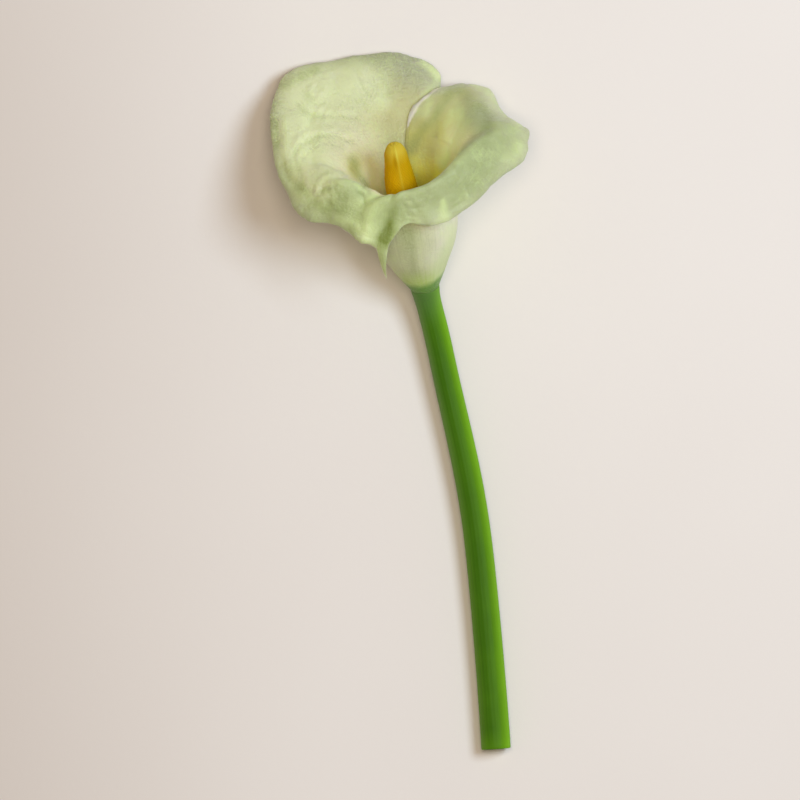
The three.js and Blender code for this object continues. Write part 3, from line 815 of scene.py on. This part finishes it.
    # painted shade in fold valleys and dark streaks, mixed with the petal's own blotches, leather
    # and mottle
    darker = (fold * -0.35 - streak * 0.8) * uneven + blotch * 0.4
    darker = darker + leather * 0.44 + mottle * 0.22
    colour = s.blend(darker.clamped(), colour, spathe["crease"])
    # painted highlight on fold ridges and pale streaks, mixed with the petal's own mottle
    lighter = (fold * 0.25 + streak * 0.9) * uneven - blotch * 0.8
    lighter = lighter - leather * 0.7 - mottle * 0.4 + cloud * 0.2
    colour = s.blend(lighter.clamped(), colour, spathe["pale"])
    colour = s.blend((mottle * -0.5 + strands * 0.2).clamped(), colour, spathe["shade"])
    # painted highlight: the margins, most on the left lobe's upper and right rim, and the free
    # margin by the seam, where they catch the light
    rimHighlight = margin * (0.35 + (turn * turn).between(17000, 24000) * 0.55)
    colour = s.blend((rimHighlight + seam * 0.95).clamped(), colour, spathe["edge"])

    bumps = mottle * 0.3 + leather + strands * 0.2 + rings * 0.25 * (1 - inside)
    return s.surface({
        "Base Color": colour,
        "Roughness": spathe["roughness"] + mottle * 0.2,
        "Subsurface Weight": spathe["translucency"],
        "Subsurface Radius": (0.8, 1.0, 0.45),
        "Subsurface Scale": spathe["translucencyDepth"],
        "Specular IOR Level": 0.35,
        "Sheen Weight": 0.1,
        "Sheen Roughness": 0.4,
        "Normal": s.bump(bumps, spathe["skinStrength"], spathe["skinDepth"]),
    })


# Spadix: a blunt finger of tight florets, with one long seam that faces the camera
spadix = {
    "bottom": 4.7,
    "top": 72.4,
    "footRadius": 5.5,
    "radius": 6.5,
    "tipRadius": 4.5,
    "footShare": 0.86,
    "domeStart": 0.91,  # share of its length where the round end begins
    "shift": -3.0,
    "around": 190,
    "rings": 400,
    "floretsRound": 34,
    "floretRows": 80,
    "floretHeight": 0.28,
    "roughHeight": 0.16,
    "seamTurn": math.radians(8),
    "seamHeight": 0.16,
    "seamWidth": math.radians(5),
    # deep and bright: the spadix's orange where it lies in shade and its yellow where it is lit,
    # painted
    "deep": tone(224, 170, 0),
    "bright": tone(192, 153, 2),
    # pale and groove: the painted highlight on the ridge and tip, and the painted shade in the
    # groove
    "pale": tone(214, 198, 70),
    "groove": tone(150, 112, 0),
    "roughness": 0.55,
    "translucency": 0.12,
    "grainScale": 1500,
    "grainStrength": 0.3,
    "grainDepth": 0.0003,
}


# Where a face lies up and round the spadix, as one number
def faceOrder(face):
    x, y, z = (math.fsum(vert.co[axis] for vert in face.verts) for axis in range(3))
    return z * 1000 + math.atan2(x, y)


def makeSpadix(material):
    length = spadix["top"] - spadix["bottom"]
    domeStart = spadix["domeStart"]
    bm = bmesh.new()
    profile = []
    for k in range(spadix["rings"] + 1):
        t = k / spadix["rings"]
        radius = mixed(spadix["footRadius"], spadix["radius"], smoothStep(0.1, 0.55, t))
        radius = mixed(radius, spadix["tipRadius"], smoothStep(0.66, 0.97, t))
        dome = 1 if t < domeStart else math.sqrt(max(0.0, 1 - ((t - domeStart) / 0.09) ** 2))
        foot = mixed(spadix["footShare"], 1, smoothStep(0, 0.05, t))
        profile.append(bm.verts.new((radius * dome * foot, 0, t * length)))
    profile.insert(0, bm.verts.new((0, 0, 0)))
    edges = [bm.edges.new(pair) for pair in zip(profile, profile[1:])]
    bmesh.ops.spin(bm, geom=profile + edges, cent=(0, 0, 0), axis=(0, 0, 1), angle=math.tau,
                   steps=spadix["around"], use_merge=True)
    bmesh.ops.remove_doubles(bm, verts=bm.verts, dist=0.004)
    bm.faces.sort(key=faceOrder)  # the spin leaves them in another order each run
    bmesh.ops.recalc_face_normals(bm, faces=bm.faces[:])
    bm.normal_update()
    crest, seam, tip, sunny = newLayers(bm, "crest", "seam", "tip", "sunny")
    for vert in bm.verts:
        t = vert.co.z / length
        turn = math.atan2(vert.co.x, vert.co.y)
        row = t * spadix["floretRows"]
        round_ = turn / math.tau * spadix["floretsRound"]
        floret = math.cos(math.pi * (round_ + row / 2)) * math.cos(math.pi * (round_ - row / 2))
        rough = noise.noise(vert.co * 1.6) * 0.5 + noise.noise(vert.co * 0.5) * 0.5
        height = abs(floret) ** 0.7 * spadix["floretHeight"] + rough * spadix["roughHeight"]
        bend = math.sin(t * 5) * 0.06
        ridge = bell(turn, spadix["seamTurn"] + bend, spadix["seamWidth"]) * smoothStep(0.3, 0.5, t)
        groove = bell(turn, spadix["seamTurn"] + bend - 0.24, 0.16) * bell(t, 0.9, 0.05)
        height = height * (1 - 0.6 * ridge) + ridge * spadix["seamHeight"] - groove * 0.06
        vert[crest] = abs(floret) * (0.8 + 0.4 * rough)
        # sunny: how far a point faces the light, for the spadix's painted light and shade
        vert[sunny] = math.sin(turn + 0.3) * 0.5 + t - 0.5
        vert[seam] = ridge * (1 + smoothStep(0.88, 0.95, t) * 0.8) - groove * 1.2
        vert[tip] = smoothStep(0.86, 0.97, t)
        side = vert.co.x + vert.normal.x * height
        front = vert.co.y + vert.normal.y * height
        up = spadix["bottom"] + vert.co.z + vert.normal.z * height
        lean = spadix["shift"] * smoothStep(8, 56, up)
        vert.co = (bloomPoint(side + lean, front, up) + frameShift) * mm
    bmesh.ops.recalc_face_normals(bm, faces=bm.faces[:])
    print("spadix", len(bm.verts), "points")
    return newPiece("spadix_florets", bm, "spadix", material)


def spadixMaterial():
    s = Shader("pollenYellow")
    crest, seam = s.attribute("crest"), s.attribute("seam")
    tip, sunny = s.attribute("tip"), s.attribute("sunny")
    place = s.place()
    cloud = s.noise(place, 110, 3, 0.55) - 0.5
    grains = s.cells(place, spadix["grainScale"])
    # painted light and shade: deeper orange on the shaded left and bottom, yellower on the lit
    # right and top
    lit = (sunny.between(-0.4, 0.7) + cloud * 0.8).clamped()
    colour = s.blend(lit, spadix["deep"], spadix["bright"])
    # painted shade: the hollows between the florets are darker
    colour = s.blend((1 - crest.between(0.0, 0.4)).clamped() * 0.35, colour, spadix["deep"])
    # painted highlight on the seam's ridge and on the round tip, which faces the light
    colour = s.blend((seam * 0.3 + tip * (0.45 + cloud)).clamped(), colour, spadix["pale"])
    # painted shade in the groove by the tip
    colour = s.blend((seam * -0.3).clamped(), colour, spadix["groove"])
    return s.surface({
        "Base Color": colour,
        "Roughness": spadix["roughness"] + cloud * 0.2,
        "Subsurface Weight": spadix["translucency"],
        "Subsurface Radius": (1.0, 0.6, 0.1),
        "Subsurface Scale": 0.002,
        "Specular IOR Level": 0.12,
        "Normal": s.bump(1 - grains, spadix["grainStrength"], spadix["grainDepth"]),
    })


# Stem: a smooth, faintly ribbed stalk with rings under the bloom and a cut, fibrous end
stem = {
    "radiusCut": 6.2,
    "radiusTop": 5.3,
    "cutBevel": 0.4,
    "collarStart": 10,  # the stalk ends and the collar begins this far below the bloom
    "collarRadius": 6.1,
    "collar": [  # distance past the stem's end, and how far the collar stands out or in
        (-8.5, -0.74), (-6.5, -0.66), (-5, -0.56), (-4.2, -0.44), (-3.8, -0.47), (-3.3, -0.34),
        (-2.7, -0.24), (-2.4, -0.28), (-1.9, -0.14), (-1.3, -0.05), (-1.0, -0.1), (-0.5, 0),
        (0.1, 0.05), (0.5, -0.1), (0.6, -0.9),
    ],
    "receptacleRadius": 3.75,
    "receptacleHeight": 4.4,
    "line": [
        (40.7, -147, 6.3), (38.2, -113, 6.65), (35.5, -82, 7.1), (31.9, -50.4, 7.7),
        (26.0, -18.9, 8.5), (18.9, 12.6, 9.6), (15.2, 29.4, 11.1), (12.4, 40.3, 13.6),
        (10.7, 47.5, 17),
    ],
    "sides": 96,
    "rings": 170,
    "ribs": 22,
    "ribHeight": 0.05,
    "unevenHeight": 0.1,
    # Rings of the cut end: width, and how deep each is sunk
    "cutRings": [(0.5, 0.05), (0.5, 0.12), (1.2, 0.05), (1.6, -0.03), (1.2, 0.04)],
    # dark and light: the stem's green as painted in shade and in light
    "dark": tone(62, 104, 14),
    "light": tone(124, 180, 30),
    # blue: the pale tone of the painted sheen band on the stem's left side
    "blue": tone(118, 150, 94),
    "cut": tone(206, 218, 168),
    "roughness": 0.5,
    "translucency": 0.06,
    "fibreStrength": 0.2,
    "fibreDepth": 0.0002,
}


def makeStem(material):
    points = [Vector(p) for p in stem["line"]] + [bloomPoint(0, 0, stem["receptacleHeight"])]
    knots = [0.0]
    for a, b in zip(points, points[1:]):
        knots.append(knots[-1] + (b - a).length)
    curve = curveThrough(knots, points)
    length, end = knots[-2], knots[-1]
    bevel, wide = stem["cutBevel"], stem["radiusCut"]
    stalk = length - (stem["collarStart"] + bevel)
    profile = [(0, wide - 0.45), (0.12, wide - 0.15), (bevel, wide)]
    for k in range(1, stem["rings"] + 1):
        s = bevel + stalk * k / stem["rings"]
        profile.append((s, mixed(stem["radiusCut"], stem["radiusTop"], s / length)))
    collar = stem["collarRadius"]
    profile += [(length + at, collar + more) for at, more in stem["collar"]]
    inner = stem["receptacleRadius"]
    profile += [(length + 0.9, inner + 0.1), (length + 1.2, inner)]
    profile += [(end - 0.5, inner), (end, inner - 0.5)]
    bm = bmesh.new()
    lengthLayer, cutLayer = newLayers(bm, "length", "cut")
    for vert, i, j in gridPoints(bm, stem["sides"], len(profile) - 1):
        s, radius = profile[j]
        angle = math.tau * (i / stem["sides"] - 0.25)
        here = curve(s)
        tangent = (curve(min(s + 0.5, end)) - curve(max(s - 0.5, 0))).normalized()
        across = Vector((0, 0, 1)).cross(tangent).normalized()
        up = tangent.cross(across)
        calm = smoothStep(0.3, 6, s) * (1 - smoothStep(length - 6, length - 2, s))
        rib = math.cos(angle * stem["ribs"] + math.sin(s * 0.03) * 0.8) * stem["ribHeight"]
        around = Vector((math.cos(angle) * 1.3, math.sin(angle) * 1.3, s * 0.02))
        uneven = noise.noise(around) * stem["unevenHeight"]
        grown = radius + (rib + uneven) * calm
        vert.co = here + across * (grown * math.cos(angle)) + up * (grown * math.sin(angle))
        vert[lengthLayer] = s / length
    bmesh.ops.remove_doubles(bm, verts=bm.verts, dist=0.001)
    holes = [edge for edge in bm.edges if edge.is_boundary]
    ends = bmesh.ops.holes_fill(bm, edges=holes, sides=0)["faces"]
    cutFace = min(ends, key=lambda face: face.calc_center_median().y)
    tangent = (curve(0.5) - curve(0)).normalized()
    for inset, sunk in stem["cutRings"]:
        bmesh.ops.inset_region(bm, faces=[cutFace], thickness=inset, use_even_offset=True)
        for vert in cutFace.verts:
            vert.co += tangent * sunk
            vert[cutLayer] = 1
    bmesh.ops.poke(bm, faces=[cutFace])
    bmesh.ops.recalc_face_normals(bm, faces=bm.faces[:])
    for vert in bm.verts:
        vert.co = (vert.co + frameShift) * mm
    print("stem", len(bm.verts), "points")
    return newPiece("stem_stalk", bm, "stem", material)


def stemMaterial():
    s = Shader("greenStalk")
    length, cut = s.attribute("length"), s.attribute("cut")
    place = s.place()
    turn = s.part(s.node("ShaderNodeUVMap", {"uv_map": "UVMap"}, {}), "X")
    wind = turn * math.tau
    cloud = s.noise(place, 45, 3, 0.5) - 0.5
    strands = s.noise(s.joined(wind.sine() * 9, wind.cosine() * 9, length * 9), 2.4, 3, 0.6) - 0.5
    fine = s.noise(place, 700, 2, 0.5) - 0.5
    # painted light: the stem is lighter on its right side, on its left edge and near the cut end,
    # and darker in the middle, as the light falls on it
    leftSide = 1 - turn.between(0.22, 0.45)
    sunny = turn.bell(0.71, 0.12) * 0.95 + leftSide * 0.72 + (1 - length.between(0.0, 0.05)) * 0.2
    colour = s.blend((sunny + strands * 0.2 + cloud * 0.3).clamped(), stem["dark"], stem["light"])
    # painted reflection: a pale bluish-grey sheen band down the left side and round the top by the
    # collar
    sheenBand = leftSide * (0.35 + length.between(0.3, 0.85)) + length.between(0.9, 1.0) * 0.5
    colour = s.blend((sheenBand * 0.6).clamped(), colour, stem["blue"])
    colour = s.blend(cut.between(0.2, 0.8), colour, stem["cut"])
    bumps = strands * 0.8 + fine * 0.3 + cloud * 0.6
    return s.surface({
        "Base Color": colour,
        "Roughness": stem["roughness"] + cloud * 0.2,
        "Subsurface Weight": stem["translucency"],
        "Subsurface Radius": (0.5, 1.0, 0.2),
        "Subsurface Scale": 0.002,
        "Specular IOR Level": 0.06,
        "Normal": s.bump(bumps, stem["fibreStrength"], stem["fibreDepth"]),
    })


# Floor, light and camera
studio = {
    "floorSize": 3.0,
    "floorPale": tone(236, 228, 219),
    # the darker tone painted on the floor as shade towards the left and the bottom
    "floorShadeTone": tone(188, 171, 155),
    "keyPower": 12.5,
    "keyPlace": Vector((0.66, 0.24, 1.33)),
    "keySize": 0.6,
    "keyColour": (0.82, 1.0, 1.21),
    "fillPower": 12.3,
    "fillPlace": Vector((0.0, 0.1, 2.0)),
    "fillSize": 0.7,
    "fillColour": (1.13, 0.985, 0.83),
    "world": 0.2,
    "worldColour": (1.18, 0.97, 0.8),
    "lightsAim": Vector((0, 0.05, 0)),
    "frameWidth": 0.336,
    "frameHeight": 0.035,  # over the floor, where the frame is that wide
    "lens": 1000,
    "sensor": 36,
}


def floorMaterial():
    s = Shader("paleFloor")
    place = s.place()
    grain = s.noise(place, 260, 4, 0.6)
    cloud = s.noise(place, 6, 2, 0.5)
    across = s.part(place, "X")
    down = 0.15 - s.part(place, "Y") * 0.6
    # painted shade: the floor is darker towards the left and the bottom, standing in for light that
    # falls off there, with a little random tone
    floorShade = (1 - across.between(-0.26, -0.02)) * 0.45 + (cloud - 0.5) * 0.12 + down * 0.3
    colour = s.blend(floorShade.clamped(), studio["floorPale"], studio["floorShadeTone"])
    return s.surface({
        "Base Color": colour,
        "Roughness": 0.85,
        "Specular IOR Level": 0.2,
        "Normal": s.bump(grain, 0.15, 0.0004),
    })


def makeFloor():
    bm = bmesh.new()
    bmesh.ops.create_grid(bm, x_segments=1, y_segments=1, size=studio["floorSize"] / 2)
    mesh = bpy.data.meshes.new("floor")
    bm.to_mesh(mesh)
    bm.free()
    floor = bpy.data.objects.new("floor", mesh)
    bpy.context.scene.collection.objects.link(floor)
    mesh.materials.append(floorMaterial())


# A round lamp whose place, size, power and colour are in the studio's dictionary
def roundLamp(name):
    place = studio[name + "Place"]
    data = bpy.data.lights.new(name + "Light", "AREA")
    data.shape = "DISK"
    data.size = studio[name + "Size"]
    data.energy = studio[name + "Power"]
    data.color = studio[name + "Colour"]
    light = bpy.data.objects.new(name + "Light", data)
    light.location = place
    light.rotation_euler = (studio["lightsAim"] - place).to_track_quat("-Z", "Y").to_euler()
    bpy.context.scene.collection.objects.link(light)


def makeStudio():
    scene = bpy.context.scene
    roundLamp("key")
    roundLamp("fill")
    world = bpy.data.worlds.new("studio")
    world.use_nodes = True
    background = world.node_tree.nodes["Background"]
    background.inputs["Color"].default_value = (*studio["worldColour"], 1)
    background.inputs["Strength"].default_value = studio["world"]
    scene.world = world
    scene.view_settings.view_transform = "Standard"

    camera = bpy.data.cameras.new("camera")
    camera.lens = studio["lens"]
    camera.sensor_width = studio["sensor"]
    far = studio["frameWidth"] * camera.lens / camera.sensor_width
    camera.clip_start, camera.clip_end = far * 0.2, far * 3
    holder = bpy.data.objects.new("camera", camera)
    holder.location = (0, 0, far + studio["frameHeight"])
    scene.collection.objects.link(holder)
    scene.camera = holder


makeFloor()
makeStudio()
print("studio ready")
makeStem(stemMaterial())
makeSpathe(spatheMaterial())
makeSpadix(spadixMaterial())
